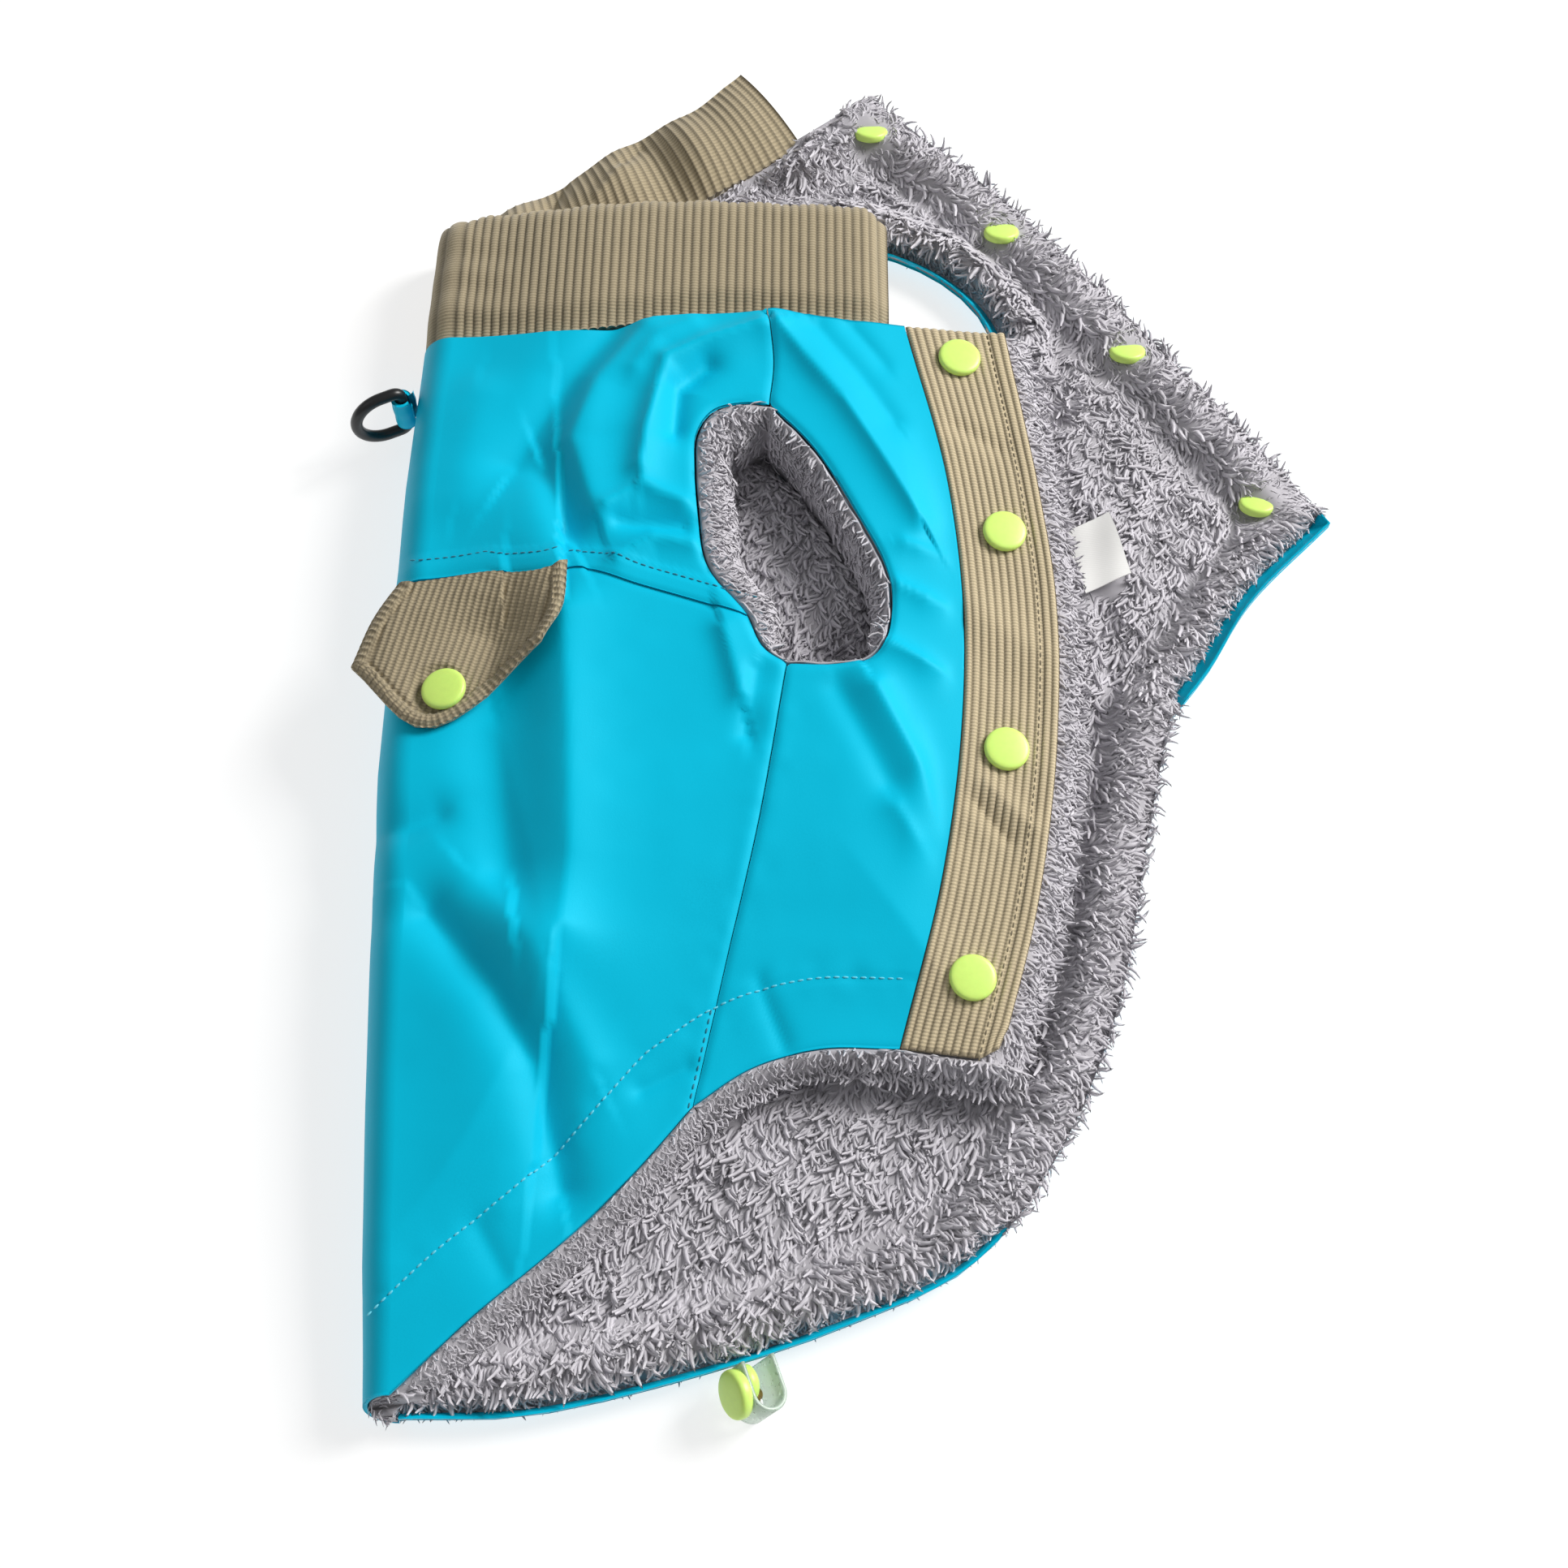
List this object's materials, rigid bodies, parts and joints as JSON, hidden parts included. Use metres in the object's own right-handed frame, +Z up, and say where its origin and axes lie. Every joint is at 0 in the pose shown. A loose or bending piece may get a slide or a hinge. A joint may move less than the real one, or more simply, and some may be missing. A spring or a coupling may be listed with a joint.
{
  "type": "dog winter coat, folded",
  "caption": "Dog coat laid folded along its back: softshell half with snap placket, pocket flap and stand collar over the fur-lined half.",
  "frame": {"origin": "centre of the bounding box on the surface that the coat lies on", "axes": "+X from the fold of the back to the belly edges, +Y from the tail to the neck, +Z up out of the surface"},
  "size_m": [0.3482, 0.516, 0.0467],
  "materials": {
    "softshell": "smooth water-repellent woven face, slight sheen",
    "corduroy": "ribbed pile",
    "fur": "curly plush pile",
    "lime_plastic": "satin",
    "ring_black": "satin",
    "label": "smooth satin tape",
    "strap": "frosted clear",
    "brass": "polished"
  },
  "bodies": {
    "coat": {"yoke_top": "softshell", "back_top": "softshell", "chest_top": "softshell", "yoke_lining_top": "fur", "back_lining_top": "fur", "chest_lining_top": "fur", "armhole_fur_rim": "fur", "placket": "corduroy", "placket_snap_1": "lime_plastic", "placket_snap_2": "lime_plastic", "placket_snap_3": "lime_plastic", "placket_snap_4": "lime_plastic", "collar_top": "corduroy", "collar_bottom": "corduroy", "yoke_bottom": "softshell", "back_bottom": "softshell", "chest_bottom": "softshell", "yoke_lining_bottom": "fur", "back_lining_bottom": "fur", "chest_lining_bottom": "fur", "lining_snap_1": "lime_plastic", "lining_snap_2": "lime_plastic", "lining_snap_3": "lime_plastic", "lining_snap_4": "lime_plastic", "pocket_flap": "corduroy", "flap_snap": "lime_plastic", "ring_tab": "softshell", "label": "label", "strap": "strap", "strap_cap": "lime_plastic", "strap_stud": "lime_plastic", "strap_pin": "brass"},
    "ring": {"ring": "ring_black"}
  },
  "joints": [
    {"name": "ring_swing", "type": "hinge", "parent": "coat", "child": "ring", "pos_m": [-0.15568, 0.092, 0.019], "axis": [0, 0, 1], "range_deg": [-100, 55]}
  ]
}
